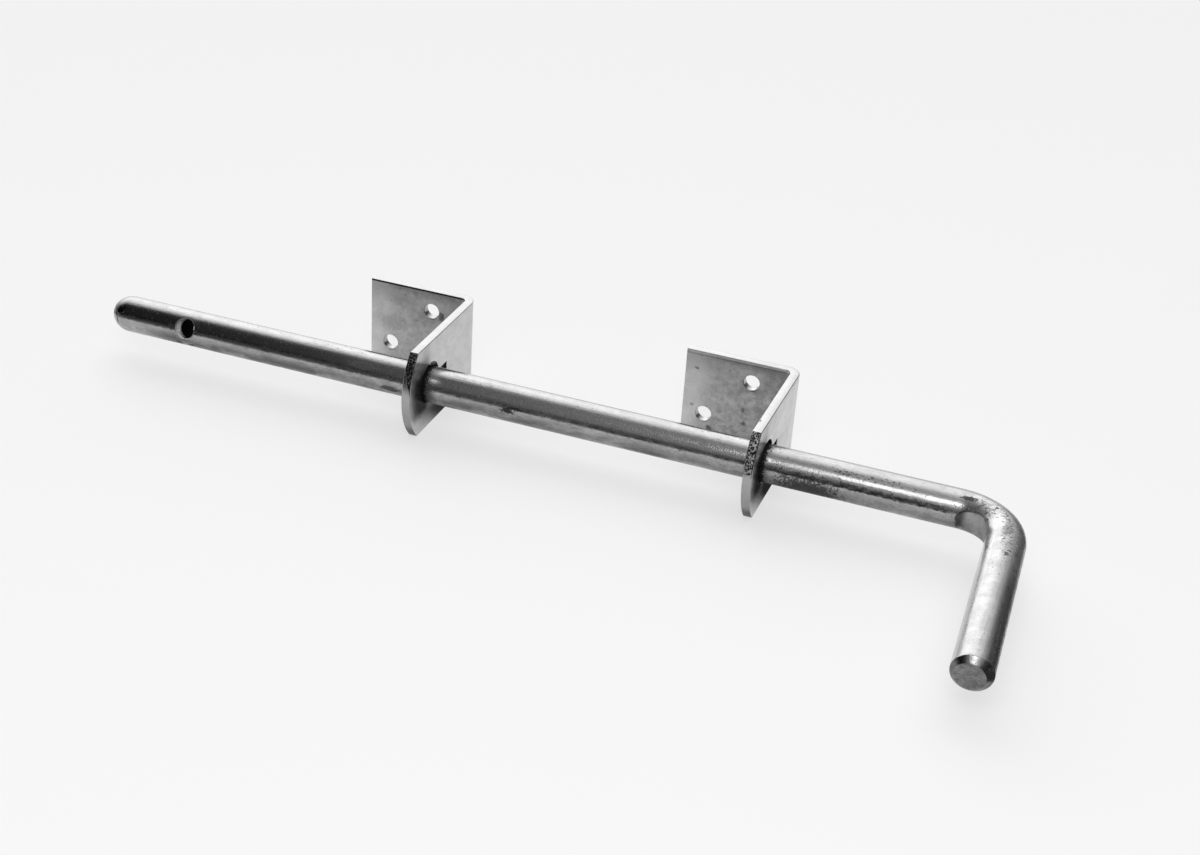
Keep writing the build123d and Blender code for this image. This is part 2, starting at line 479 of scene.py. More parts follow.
def makeBarMaterial(sizes, lengths, corner):
    material, tree, shader, place = startMaterial("brightZincBar")
    m, vec, ramp, step, tint, plus, minus, times, most = nodeTools(tree, "m vec ramp step tint plus minus times most")
    local = vec("SUBTRACT", place, corner)
    x, y, z = splitVector(tree, local)
    # Draw lines run along the bar and turn into the handle at the bend
    onHandle = step(y, -0.010, -0.026)
    onShank = minus(1.0, onHandle)

    def alongBar(scale, squeeze):
        pair = [placeGroup(tree, drawLines, Vector=place, Scale=scale, Stretch=way)["Lines"]
                for way in ((squeeze, 1.0, 1.0), (1.0, squeeze, 1.0))]
        return addNode(tree, "ShaderNodeMix", Factor=onHandle, A=pair[0], B=pair[1]).outputs["Result"]

    lines = alongBar(900.0, 0.022)
    bands = alongBar(260.0, 0.05)
    clouds = placeGroup(tree, zincClouds, Vector=place, Light=grey(sizes["light"]), Dark=grey(sizes["dark"]),
                        Cloud_Scale=150.0, Grain_Scale=1500.0, Grain_Depth=0.55)
    streak = times(step(lines, 0.55, 0.95), step(clouds["Cloud"], 0.75, 0.25))
    colour = tint(clouds["Color"], sizes["streakTone"], streak, 0.6)
    # The underside is painted darker as shade, and dull and dirty in patches
    stretched = vec("MULTIPLY", place, (0.45, 1.0, 1.0))
    patches = ramp(noise(tree, stretched, 150.0, 6.0, 0.7), 0.38, 0.60, 0.35, 1.0, True)
    underShade = times(step(z, 0.0024, -0.0034), onShank, patches, step(x, -0.394, -0.372))
    underShade = times(underShade, ramp(x, -0.250, -0.150, 1.0, 0.72, True))
    colour = tint(colour, sizes["underShadeTone"], underShade, 0.85)
    colour = tint(colour, sizes["handleTone"], onHandle, 0.05)
    # The back of the shank is painted darker, most toward the tip end, as shade that tones down its highlight; its
    # front is darker in a band
    topShade = times(step(y, -0.0016, 0.0004), onShank)
    colour = tint(colour, sizes["topShadeTone"], topShade, ramp(x, -0.150, -0.090, 0.36, 0.14, True))
    frontBand = times(step(m("ABSOLUTE", minus(z, 0.0042)), 0.0030, 0.0012), step(x, -0.22, -0.34))
    colour = tint(colour, sizes["frontBandTone"], frontBand, 0.60)
    mottle = ramp(noise(tree, stretched, 620.0, 4.0, 0.75), 0.38, 0.60, 0.30, 0.0)
    colour = tint(colour, sizes["mottleTone"], mottle, ramp(z, 0.0030, 0.0060, 1.0, 0.45, True))
    # Specks, thickest on the side of the bar that faces out
    spread = ramp(x, -0.080, -0.062, 0.0024, 0.0018)
    front = times(step(m("ABSOLUTE", minus(z, 0.0023)), spread, 0.0006), onShank)
    front = times(front, ramp(x, -0.112, -0.080, 0.35, 1.0, True), step(x, -0.018, -0.026))
    thick = addSpots(tree, local, sizes["speckled"], times(front, 0.22))
    bits = plus(noise(tree, stretched, 1100.0, 3.0, 0.7), thick)
    rubbed = step(bits, 0.655, 0.720)
    # A thin dark line painted along the middle of the front, as the dark horizon's reflection
    wobble = times(minus(noise(tree, stretched, 900.0, 3.0, 0.6), 0.5), 0.0008)
    reflectionLine = times(step(m("ABSOLUTE", plus(minus(z, 0.0021), wobble)), 0.0012, 0.0003), onShank)
    broken = ramp(noise(tree, stretched, 420.0, 4.0, 0.7), 0.38, 0.60, 0.25, 0.95)
    reflectionLine = times(reflectionLine, step(x, -0.020, -0.036), broken)
    colour = tint(colour, sizes["reflectionLineTone"], reflectionLine)
    fine = placeGroup(tree, dirtSpecks, Vector=place, Scale=1300.0, Size=0.36, Share=0.05, Patch_Scale=45.0)
    specks = most(times(fine["Mask"], 0.7), times(rubbed, 0.85))
    # Placed dirt, and grime with painted shade where the brackets stand: a dark ring on the bar beside each leg,
    # darkest against it
    dirtAndLegShade = addSpots(tree, local, sizes["marks"], 0.0)
    crumbs = times(minus(clouds["Grain"], 0.5), 0.0025)
    gateX = splitVector(tree, place)[0]
    legGrimeAndShade = 0.0
    for leg in sizes["legPlaces"]:
        past = plus(minus(gateX, leg), crumbs)
        ring = times(step(past, 0.0030, 0.0006), step(past, -0.0070, -0.0045))
        dirtAndLegShade = most(dirtAndLegShade, times(ring, 0.85))
        legGrimeAndShade = most(legGrimeAndShade, times(ring, step(past, 0.0018, 0.0012)))
    specks = most(specks, dirtAndLegShade, legGrimeAndShade)
    colour = tint(colour, sizes["dirtTone"], specks, 0.9)
    colour = tint(colour, sizes["legGrimeShadeTone"], legGrimeAndShade, 0.8)
    # Hollow of the bending pin, with painted shade at its left end
    turn = lengths["Bend Turn"]
    bend = lengths["Bend Radius"]
    shift = bend - lengths["Radius"] + lengths["Pin Bite"] - lengths["Pin Radius"]
    pin = (shift * sin(turn / 2) - bend * tan(turn / 2), shift * cos(turn / 2) - bend, 0.0)
    flat = vec("MULTIPLY", vec("SUBTRACT", local, pin), (1.0, 1.0, 0.0))
    pressed = step(vec("LENGTH", flat), lengths["Pin Radius"] + 0.00035, lengths["Pin Radius"] + 0.00012)
    colour = tint(colour, sizes["pressedTone"], pressed, 0.35)
    pinEndShade = times(pressed, step(x, -0.0160, -0.0192))
    colour = tint(colour, 0.05, pinEndShade, 0.9)
    # A thin dark line slants across the front of the crown
    crownLine = plus(x, lengths["Bolt Reach"], vec("DOT_PRODUCT", local, sizes["crownSlant"]))
    crownLine = times(step(m("ABSOLUTE", crownLine), 0.00034, 0.00012), step(y, -0.0022, -0.0034))
    crownLine = times(crownLine, step(z, -0.0030, -0.0010))
    colour = tint(colour, sizes["lineTone"], crownLine, 0.9)
    # Cross hole: painted shade black deep inside, painted light on its left wall near the mouth, a painted highlight
    # on the lower rim and painted shade round the rest of it, the skin round it a little wavy
    holeX = lengths["Hole From Tip"] - lengths["Bolt Reach"]
    holeWay = (0.0, -cos(lengths["Hole Lift"]), sin(lengths["Hole Lift"]))
    fromHole = vec("SUBTRACT", local, (holeX, 0.0, 0.0))
    depth = vec("DOT_PRODUCT", fromHole, holeWay)
    sideways = vec("LENGTH", vec("SUBTRACT", fromHole, vec("SCALE", holeWay, scale=depth)))
    bore = m("LESS_THAN", sideways, lengths["Hole Radius"] + 0.00008)
    across = splitVector(tree, fromHole)[0]
    boreShade = times(bore, most(step(depth, 0.0056, 0.0030), step(across, -0.0002, 0.0022)))
    rim = minus(m("LESS_THAN", sideways, lengths["Hole Radius"] + 0.0006), bore)
    rimHighlightTone, rimShadeTone = sizes["rimLightShadeTones"]
    colour = tint(colour, sizes["holeShadeTone"], boreShade)
    colour = tint(colour, rimHighlightTone, minus(bore, boreShade), step(across, -0.0008, -0.0026))
    litRim = step(vec("DOT_PRODUCT", fromHole, sizes["rimLight"]), 0.0020, -0.0010)
    shadedRim = minus(rim, times(rim, litRim))
    colour = tint(colour, rimHighlightTone, rim, litRim, 0.9)
    colour = tint(colour, rimShadeTone, shadedRim, 0.8)
    # The handle's two sides are painted lighter, as light on them, its sawn end dull, and its chamfer painted with
    # shade on its left and lower part
    reach = vec("DOT_PRODUCT", local, (cos(turn), -sin(turn), 0.0))
    side = vec("DOT_PRODUCT", local, (sin(turn), cos(turn), 0.0))
    upper = times(step(z, 0.0005, 0.0030), onHandle)
    litLeftSide = times(step(side, -0.0035, -0.0062), upper)
    leftLightTone, bendLightTone, rightLightTone = sizes["sideLightTones"]
    colour = tint(colour, leftLightTone, litLeftSide, 0.8)
    colour = tint(colour, bendLightTone, litLeftSide, step(reach, 0.060, 0.036), 0.5)
    litRightSide = times(step(side, 0.0022, 0.0052), upper, step(reach, 0.066, 0.040))
    colour = tint(colour, rightLightTone, litRightSide, 0.55)
    level = plus(times(side, lengths["Slant Back"]), times(z, lengths["Slant Down"]))
    outward = minus(reach, level)
    endFace = m("GREATER_THAN", outward, lengths["Handle Length"] - 0.00012)
    sawn = ramp(noise(tree, vec("MULTIPLY", place, (0.5, 1.0, 1.0)), 800.0, 5.0, 0.8), 0.40, 0.60, 0.40, 1.0)
    colour = tint(colour, sizes["sawnTone"], endFace, sawn)
    chamfer = minus(m("GREATER_THAN", outward, lengths["Handle Length"] - 0.0021), endFace)
    shaded = most(step(side, -0.0024, -0.0048), step(z, 0.0, -0.0030))
    colour = tint(colour, sizes["chamferShadeTone"], chamfer, shaded, 0.80)
    tree.links.new(colour, shader.inputs["Base Color"])
    # Dirt and painted shade aren't metal
    dirtAndShade = most(specks, crownLine, boreShade, shadedRim, times(underShade, 0.7), times(reflectionLine, 0.7))
    tree.links.new(minus(1.0, most(times(dirtAndShade, 0.96), boreShade)), shader.inputs["Metallic"])
    shader.inputs["Specular IOR Level"].default_value = sizes["dirtShine"]
    shank, handle = [ramp(clouds["Cloud"], 0.0, 1.0, sizes[name][1], sizes[name][0])
                     for name in ("shankRough", "handleRough")]
    rough = plus(ramp(onHandle, 0.0, 1.0, shank, handle), times(underShade, 0.10))
    rough = plus(rough, times(step(x, -0.115, -0.085), onShank, 0.07), times(specks, 0.30))
    rough = most(rough, times(most(endFace, bore, times(pressed, 0.8)), sizes["endRough"]), boreShade)
    tree.links.new(rough, shader.inputs["Roughness"])
    aroundHole = step(sideways, lengths["Hole Radius"] + 0.0034, lengths["Hole Radius"] + 0.0008)
    wavy = times(aroundHole, noise(tree, place, 520.0, 2.0, 0.5), 4.0)
    height = plus(times(lines, 0.9), times(bands, 0.8), clouds["Grain"])
    height = plus(minus(height, times(specks, 0.5)), wavy)
    addBump(tree, shader, height, sizes["grain"])
    return material


stripFinish = {
    "light": 0.62,
    "dark": 0.48,
    # Dirt on the plates: centre and half sizes in mm in the gate's frame, strength
    "marks": [
        ((-135.0, -4.0, 8.3), (1.9, 3.0, 2.6), 0.6),
        ((-159.0, -4.0, 0.5), (8.0, 3.0, 5.0), 0.12),
        ((-14.6, -4.0, 11.5), (1.5, 3.0, 0.7), 0.5),
        ((-7.1, -4.0, -16.0), (1.7, 3.0, 1.3), 0.6),
        ((7.3, -4.0, -4.1), (1.3, 3.0, 1.2), 0.45),
        ((8.2, -4.0, -10.4), (1.3, 3.0, 1.2), 0.55),
        ((-15.5, -4.0, -6.4), (1.0, 3.0, 0.9), 0.4),
    ],
    "dirtTone": 0.05,
    "grimeAndShadeTone": 0.006,
    "shadeTone": 0.25,
    "cornerLightTone": 0.92,
    "skinRough": (0.14, 0.24),     # outside of the fold, burnished
    "innerRough": (0.30, 0.44),
    "grain": 0.00002,
    "dirtShine": 0.06,
    # Sheared edges; the nick is on the handle bracket's corner
    "cutLight": 0.42,
    "cutDark": 0.33,
    "cutRough": (0.26, 0.50),      # cut smooth, broken
    "cutGrain": 0.00003,
    "nicks": [((27.2, -52.3, 19.75), (0.7, 1.3, 0.8), 0.8)],
}


# Place in the folded bracket and in its flat strip, a mask of the tip bracket, distance from the bar's axis
def stripPlaces(tree, place, lengths):
    flatPlace = addNode(tree, "ShaderNodeAttribute", attribute_name="flatPlace").outputs["Vector"]
    x, y, z = splitVector(tree, place)
    u, v, w = splitVector(tree, flatPlace)
    isTip = mathNode(tree, "LESS_THAN", x, lengths["Leg X"] - lengths["Pitch"] / 2)
    middle = vectorMath(tree, "SUBTRACT", place, (0.0, -lengths["Hole From Gate"], lengths["Hole Rise"]))
    fromBar = vectorMath(tree, "LENGTH", vectorMath(tree, "MULTIPLY", middle, (0.0, 1.0, 1.0)))
    return y, z, u, v, w, isTip, fromBar


def makeStripMaterial(sizes, lengths):
    material, tree, shader, place = startMaterial("mottledZincStrip")
    m, ramp, step, tint, plus, minus, times, most = nodeTools(tree, "m ramp step tint plus minus times most")
    y, z, u, v, w, isTip, fromBar = stripPlaces(tree, place, lengths)
    inner = ramp(w, -0.0004, 0.0004, 0.0, 1.0)
    clouds = placeGroup(tree, zincClouds, Vector=place, Light=grey(sizes["light"]), Dark=grey(sizes["dark"]),
                        Cloud_Scale=150.0, Grain_Scale=1000.0, Grain_Depth=0.6)
    # Painted shade: the plate's face darker to the fold than to its free edge and lower down, and the leg's outer
    # face darker
    isOther = minus(1.0, isTip)
    start = lengths["Plate Start"]
    shade = ramp(u, start, start + 0.016, 0.0, 0.52, True)
    shade = plus(shade, times(ramp(u, start + 0.016, start + 0.045, 0.0, 0.22, True), isOther))
    low = times(step(z, 0.012, -0.010), step(u, start + 0.006, start + 0.018))
    shade = plus(shade, times(low, ramp(isTip, 0.0, 1.0, 0.20, 0.10)))
    blotch = ramp(noise(tree, place, 300.0, 5.0, 0.75), 0.38, 0.62, 0.5, 1.3)
    shade = times(shade, inner, blotch)
    outer = times(minus(1.0, inner), ramp(isTip, 0.0, 1.0, 0.28, 0.14))
    colour = tint(clouds["Color"], sizes["shadeTone"], most(shade, outer))
    # Painted light on the plate's upper corner by its free edge
    litCorner = times(step(u, start + 0.016, start), step(z, 0.000, 0.014), inner)
    colour = tint(colour, sizes["cornerLightTone"], litCorner, 0.45)
    # Its upper edge: painted shade as a dark line along it on one bracket; on the other a painted highlight on the
    # rolled edge, with painted shade just under it
    toEdge = minus(lengths["Width"] / 2, v)
    onSkin = m("GREATER_THAN", w, lengths["Thickness"] / 2 - 0.0006)
    dark = times(step(toEdge, 0.0009, 0.0006), isTip, onSkin)
    colour = tint(colour, 0.02, dark, 0.95)
    rolledHighlight = times(step(toEdge, 0.0014, 0.0010), isOther, inner)
    colour = tint(colour, 0.80, rolledHighlight, 0.6)
    underRollShade = times(step(m("ABSOLUTE", minus(toEdge, 0.0016)), 0.0005, 0.0002), isOther)
    colour = tint(colour, 0.12, underRollShade, inner, 0.4)
    # Painted shade on the leg beside the bar, where it mirrors the bar's dark side, joined by the dirt marks on the
    # plates
    away = plus(fromBar, times(minus(noise(tree, place, 350.0, 3.0), 0.5), 0.003))
    grimeAndShade = times(step(away, 0.0245, 0.0135), step(y, -0.0475, -0.0550), m("LESS_THAN", w, 0.0), 0.96)
    grimeAndShade = times(grimeAndShade, ramp(z, 0.0165, 0.0060, 0.25, 1.0, True))
    grimeAndShade = times(grimeAndShade, ramp(z, -0.0140, -0.0085, 0.15, 1.0, True))
    grimeAndShade = addSpots(tree, place, sizes["marks"], grimeAndShade)
    colour = tint(colour, sizes["grimeAndShadeTone"], grimeAndShade)
    fine = placeGroup(tree, dirtSpecks, Vector=place, Scale=1000.0, Size=0.32, Share=0.02)["Mask"]
    coarse = placeGroup(tree, dirtSpecks, Vector=place, Scale=420.0, Size=0.22, Share=0.02)["Mask"]
    specks = most(fine, times(coarse, 0.7))
    colour = tint(colour, sizes["dirtTone"], specks, 0.6)
    tree.links.new(colour, shader.inputs["Base Color"])
    tree.links.new(minus(1.0, grimeAndShade), shader.inputs["Metallic"])
    shader.inputs["Specular IOR Level"].default_value = sizes["dirtShine"]
    skin = ramp(clouds["Cloud"], 0.0, 1.0, sizes["skinRough"][1], sizes["skinRough"][0])
    plain = ramp(clouds["Cloud"], 0.0, 1.0, sizes["innerRough"][1], sizes["innerRough"][0])
    tree.links.new(ramp(inner, 0.0, 1.0, skin, plain), shader.inputs["Roughness"])
    lines = placeGroup(tree, drawLines, Vector=place, Scale=1100.0, Stretch=(1.0, 1.0, 0.03))["Lines"]
    height = plus(times(lines, 0.8), clouds["Grain"], times(noise(tree, place, 220.0, 2.0), 2.2))
    addBump(tree, shader, height, sizes["grain"])
    return material


def makeShearMaterial(sizes, lengths):
    material, tree, shader, place = startMaterial("shearedZincEdge")
    m, ramp, step, tint, plus, minus, times = nodeTools(tree, "m ramp step tint plus minus times")
    y, z, u, v, w, isTip, fromBar = stripPlaces(tree, place, lengths)
    depth = plus(m("DIVIDE", w, lengths["Thickness"]), 0.5)
    clouds = placeGroup(tree, zincClouds, Vector=place, Light=grey(sizes["cutLight"]), Dark=grey(sizes["cutDark"]),
                        Grain_Scale=1700.0, Grain_Depth=0.55)
    # The leg's end broke away rough on its upper part and was cut smooth below
    onEnd = m("LESS_THAN", y, 0.0002 - lengths["Corner Reach"])
    bound = ramp(isTip, 0.0, 1.0, 0.0034, plus(times(depth, 0.0115), 0.0025))
    ragged = times(minus(noise(tree, place, 700.0, 3.0, 0.6), 0.5), 0.006)
    past = plus(minus(z, bound), ragged)
    broken = times(step(past, -0.0002, 0.0004), onEnd)
    crumbs = noise(tree, place, 1250.0, 4.0, 0.75)
    bright = ramp(crumbs, ramp(isTip, 0.0, 1.0, 0.485, 0.50), ramp(isTip, 0.0, 1.0, 0.56, 0.62), 0.0, 1.0)
    tone = plus(times(bright, ramp(isTip, 0.0, 1.0, 0.55, 0.24)), 0.01)
    toSide = m("ABSOLUTE", minus(depth, 0.5))
    tone = times(tone, ramp(toSide, 0.34, 0.44, 1.0, 0.15))
    grain = addNode(tree, "ShaderNodeCombineColor", Red=tone, Green=tone, Blue=tone)
    # Painted shade: the smooth cut darker towards the foot of the leg's end
    footShade = plus(times(step(z, 0.004, -0.0195), 0.25), times(step(z, -0.0115, -0.0175), 0.70))
    smoothCut = tint(clouds["Color"], 0.03, footShade, onEnd)
    smoothCut = tint(smoothCut, 0.10, isTip, minus(1.0, onEnd), 0.15)
    smoothCut = tint(smoothCut, 0.06, addSpots(tree, place, sizes["nicks"], 0.0))
    colour = mixColour(tree, broken, smoothCut, grain)
    # Painted shade inside the bar's hole
    bore = m("LESS_THAN", fromBar, lengths["Hole Radius"] + 0.0006)
    colour = tint(colour, 0.03, bore, 0.95)
    tree.links.new(colour, shader.inputs["Base Color"])
    shader.inputs["Metallic"].default_value = 1.0
    tree.links.new(ramp(broken, 0.0, 1.0, *sizes["cutRough"]), shader.inputs["Roughness"])
    lines = placeGroup(tree, drawLines, Vector=place, Scale=1500.0, Stretch=(0.9, 0.9, 0.05))["Lines"]
    height = plus(times(lines, 0.6), times(broken, crumbs, 5.0))
    addBump(tree, shader, height, sizes["cutGrain"])
    return material


# Geometry Nodes helpers

# A tree takes geometry and its named values, and None stands for a material
def startTree(name, values):
    tree = bpy.data.node_groups.new(name, "GeometryNodeTree")
    tree.interface.new_socket(name="Geometry", in_out="INPUT", socket_type="NodeSocketGeometry")
    for label, value in values.items():
        kind = "Material" if value is None else "Int" if isinstance(value, int) else "Float"
        socket = tree.interface.new_socket(name=label, in_out="INPUT", socket_type="NodeSocket" + kind)
        if value is not None:
            socket.default_value = value
    tree.interface.new_socket(name="Geometry", in_out="OUTPUT", socket_type="NodeSocketGeometry")
    return tree, addNode(tree, "NodeGroupInput").outputs, addNode(tree, "NodeGroupOutput").inputs[0]


# Smooth faces, crisp along every edge that turns more than the given angle
def crispEdges(tree, geometry, turn):
    sharp = mathNode(tree, "GREATER_THAN", addNode(tree, "GeometryNodeInputMeshEdgeAngle"), turn)
    smooth = addNode(tree, "GeometryNodeSetShadeSmooth", domain="FACE", Geometry=geometry)
    return addNode(tree, "GeometryNodeSetShadeSmooth", domain="EDGE", Geometry=smooth,
                   Selection=sharp, Shade_Smooth=False)


def bakeMesh(holder):
    bpy.context.view_layer.update()
    return bpy.data.meshes.new_from_object(holder.evaluated_get(bpy.context.evaluated_depsgraph_get()))


def growMesh(name, baseMesh, tree, values):
    holder = bpy.data.objects.new(name + "Base", baseMesh)
    scene.collection.objects.link(holder)
    modifier = holder.modifiers.new("grow", "NODES")
    modifier.node_group = tree
    for item in tree.interface.items_tree:
        if item.item_type == "SOCKET" and item.in_out == "INPUT" and item.name in values:
            modifier[item.identifier] = values[item.name]
    mesh = bakeMesh(holder)
    holder.modifiers.remove(modifier)
    bpy.data.objects.remove(holder)
    mesh.name = name
    piece = bpy.data.objects.new(name, mesh)
    scene.collection.objects.link(piece)
    return piece


# Bar: round stock on a line, bend and line, with its cross hole
barSizes = {
    "Radius": 0.008,
    "Bolt Reach": 0.4046,
    "Handle Length": 0.1107,
    "Bend Turn": radians(87.0),
    "Bend Radius": 0.022,
    "Crown Radius": 0.0095,
    "Crown Turn": radians(48.5),
    "Crown Land": 0.0016,
    "Face Radius": 0.0059,
    "Face Shift Back": 0.0005,
    "Face Shift Down": 0.0004,
    "Slant Back": tan(radians(5.0)),
    "Slant Down": tan(radians(8.0)),
    "Pin Radius": 0.011,
    "Pin Bite": 0.0016,
    "Hole Radius": 0.00425,
    "Hole From Tip": 0.0381,
    "Hole Lift": radians(23.0),
    "Rim Break": 0.0005,
    "End Blend": 0.0004,
    "Pin Blend": 0.00004,
    "Hole Zone": 0.008,      # rings stand closer this far from the hole, the bend and the end
    "Bend Zone": 0.003,
    "End Zone": 0.012,
    "Chamfer Lead": 0.0005,
    "Drill Length": 0.03,
    "Facets": 160,
    "Hole Facets": 96,
    "Bend Steps": 96,
    "Crisp Turn": radians(32.0),
}
barCorner = Vector((0.1317, -0.0495, -0.0003))


def makeBarTree():
    tree, given, end = startTree("bentRoundBar", {**barSizes, "Finish": None})
    m, vec, ramp, plus, minus, times, most = nodeTools(tree, "m vec ramp plus minus times most")
    combine = partial(combineVector, tree)

    # Centreline: tip, corner and handle end, rounded at the corner
    index = addNode(tree, "GeometryNodeInputIndex").outputs[0]
    isTip = m("COMPARE", index, 0.0, 0.5)
    isEnd = m("COMPARE", index, 2.0, 0.5)
    sinTurn = m("SINE", given["Bend Turn"])
    cosTurn = m("COSINE", given["Bend Turn"])
    tipX = times(isTip, given["Bolt Reach"], -1.0)
    endX = times(isEnd, given["Handle Length"], cosTurn)
    endY = times(isEnd, given["Handle Length"], sinTurn, -1.0)
    line = addNode(tree, "GeometryNodeMeshLine", Count=3)
    place = addNode(tree, "GeometryNodeSetPosition", Geometry=line, Position=combine(plus(tipX, endX), endY, 0.0))
    fillet = addNode(tree, "GeometryNodeFilletCurve", mode="POLY", Count=given["Bend Steps"],
                     Curve=addNode(tree, "GeometryNodeMeshToCurve", Mesh=place), Radius=given["Bend Radius"])
    total = addNode(tree, "GeometryNodeCurveLength", Curve=fillet).outputs[0]

    # Rings stand close together at the ends, the hole and the bend
    tangent = times(given["Bend Radius"], m("TANGENT", times(given["Bend Turn"], 0.5)))
    bendStart = minus(given["Bolt Reach"], tangent)
    bendLength = times(given["Bend Radius"], given["Bend Turn"])
    crown = given["Crown Radius"]
    crownLength = times(crown, m("SINE", given["Crown Turn"]))
    chamfer = minus(given["Radius"], given["Face Radius"])
    chamferStart = minus(total, chamfer)
    stops = [
        (4, given["Crown Land"]),
        (24, crownLength),
        (12, minus(given["Hole From Tip"], given["Hole Zone"])),
        (52, plus(given["Hole From Tip"], given["Hole Zone"])),
        (60, minus(bendStart, given["Bend Zone"])),
        (100, plus(bendStart, bendLength, given["Bend Zone"])),
        (20, minus(total, given["End Zone"])),
        (16, minus(chamferStart, given["Chamfer Lead"])),
        (14, total),
    ]
    along, reached, count = 0.0, 0.0, 0
    for rings, stop in stops:
        along = plus(along, ramp(index, float(count), float(count + rings), 0.0, minus(stop, reached)))
        reached = stop
        count += rings
    ringLine = addNode(tree, "GeometryNodeMeshToCurve", Mesh=addNode(tree, "GeometryNodeMeshLine", Count=count + 1))
    sample = addNode(tree, "GeometryNodeSampleCurve", mode="LENGTH", use_all_curves=True, Curves=fillet, Length=along)
    ringPlace = addNode(tree, "GeometryNodeSetPosition", Geometry=ringLine, Position=sample.outputs["Position"])

    # The tip is crowned, with a steeper land at its very end; the handle's end is chamfered
    def crownCut(at):
        left = most(minus(crownLength, at), 0.0)
        return minus(crown, m("SQRT", minus(times(crown, crown), times(left, left))))

    landCut = minus(crownCut(0.0), crownCut(given["Crown Land"]))
    landLeft = most(minus(1.0, m("DIVIDE", along, given["Crown Land"])), 0.0)
    tipCut = plus(crownCut(most(along, given["Crown Land"])), times(landCut, landLeft))
    endCut = m("SMOOTH_MAX", minus(along, chamferStart), 0.0, given["End Blend"])
    profile = addNode(tree, "GeometryNodeCurvePrimitiveCircle", Resolution=given["Facets"], Radius=1.0)
    skin = addNode(tree, "GeometryNodeCurveToMesh", Curve=ringPlace, Profile_Curve=profile,
                   Scale=minus(given["Radius"], tipCut, endCut), Fill_Caps=True)

    # The handle's end stands out of square, its face a little off centre
    spot = addNode(tree, "GeometryNodeInputPosition").outputs[0]
    handleWay = combine(cosTurn, times(sinTurn, -1.0), 0.0)
    sideWay = combine(sinTurn, cosTurn, 0.0)
    reach = vec("DOT_PRODUCT", spot, handleWay)
    side = vec("DOT_PRODUCT", spot, sideWay)
    rise = vec("DOT_PRODUCT", spot, (0.0, 0.0, 1.0))
    pastBend = -0.03      # every point further out is on the handle
    onHandle = m("LESS_THAN", vec("DOT_PRODUCT", spot, (0.0, 1.0, 0.0)), pastBend)
    faceStart = minus(given["Handle Length"], chamfer)
    toFace = times(ramp(reach, faceStart, given["Handle Length"], 0.0, 1.0), onHandle)
    slantStart = minus(given["Handle Length"], given["End Zone"])
    toSlant = times(ramp(reach, slantStart, faceStart, 0.0, 1.0), onHandle)
    backBy = times(given["Face Shift Back"], toFace)
    downBy = times(given["Face Shift Down"], toFace)
    slant = plus(times(minus(side, backBy), given["Slant Back"]), times(minus(rise, downBy), given["Slant Down"]))
    deeper = plus(times(side, given["Face Shift Back"]), times(rise, given["Face Shift Down"]))
    deeper = times(m("DIVIDE", deeper, given["Radius"]), minus(1.0, toFace))
    slant = times(minus(slant, deeper), toSlant)
    lean = vec("SCALE", handleWay, scale=slant)
    lean = vec("SUBTRACT", lean, vec("SCALE", sideWay, scale=backBy))
    lean = vec("SUBTRACT", lean, combine(0.0, 0.0, downBy))
    cutEnd = addNode(tree, "GeometryNodeSetPosition", Geometry=skin, Offset=lean)

    # The bending pin pressed a hollow into the inside of the bend
    halfTurn = times(given["Bend Turn"], 0.5)
    shift = minus(plus(minus(given["Bend Radius"], given["Radius"]), given["Pin Bite"]), given["Pin Radius"])
    pinX = minus(times(shift, m("SINE", halfTurn)), tangent)
    pinY = minus(times(shift, m("COSINE", halfTurn)), given["Bend Radius"])
    flat = vec("MULTIPLY", spot, (1.0, 1.0, 0.0))
    away = vec("SUBTRACT", flat, combine(pinX, pinY, 0.0))
    distance = vec("LENGTH", away)
    pushed = m("SMOOTH_MAX", distance, given["Pin Radius"], given["Pin Blend"])
    push = vec("SCALE", vec("NORMALIZE", away), scale=minus(pushed, distance))
    press = addNode(tree, "GeometryNodeSetPosition", Geometry=cutEnd, Offset=push)

    # Cross hole, its rim eased before it is cut
    holePlace = combine(minus(given["Hole From Tip"], given["Bolt Reach"]), 0.0, 0.0)
    holeWay = combine(0.0, times(m("COSINE", given["Hole Lift"]), -1.0), m("SINE", given["Hole Lift"]))
    fromHole = vec("SUBTRACT", spot, holePlace)
    sideways = vec("SUBTRACT", fromHole, vec("SCALE", holeWay, scale=vec("DOT_PRODUCT", fromHole, holeWay)))
    rimGap = minus(vec("LENGTH", sideways), given["Hole Radius"])
    easing = ramp(rimGap, 0.0, given["Rim Break"], times(given["Rim Break"], -1.0), 0.0)
    outwards = vec("SCALE", addNode(tree, "GeometryNodeInputNormal"), scale=easing)
    ease = addNode(tree, "GeometryNodeSetPosition", Geometry=press, Offset=outwards)
    drill = addNode(tree, "GeometryNodeMeshCylinder", Vertices=given["Hole Facets"],
                    Radius=given["Hole Radius"], Depth=given["Drill Length"])
    aim = addNode(tree, "GeometryNodeTransform", Geometry=drill, Translation=holePlace,
                  Rotation=combine(minus(pi / 2, given["Hole Lift"]), 0.0, 0.0))
    bore = addNode(tree, "GeometryNodeMeshBoolean", operation="DIFFERENCE", solver="EXACT", Mesh_1=ease, Mesh_2=aim)

    crisp = crispEdges(tree, bore, given["Crisp Turn"])
    move = addNode(tree, "GeometryNodeTransform", Geometry=crisp, Translation=barCorner)
    real = addNode(tree, "GeometryNodeRealizeInstances", Geometry=move)
    plug(tree, addNode(tree, "GeometryNodeSetMaterial", Geometry=real, Material=given["Finish"]), end)
    return tree


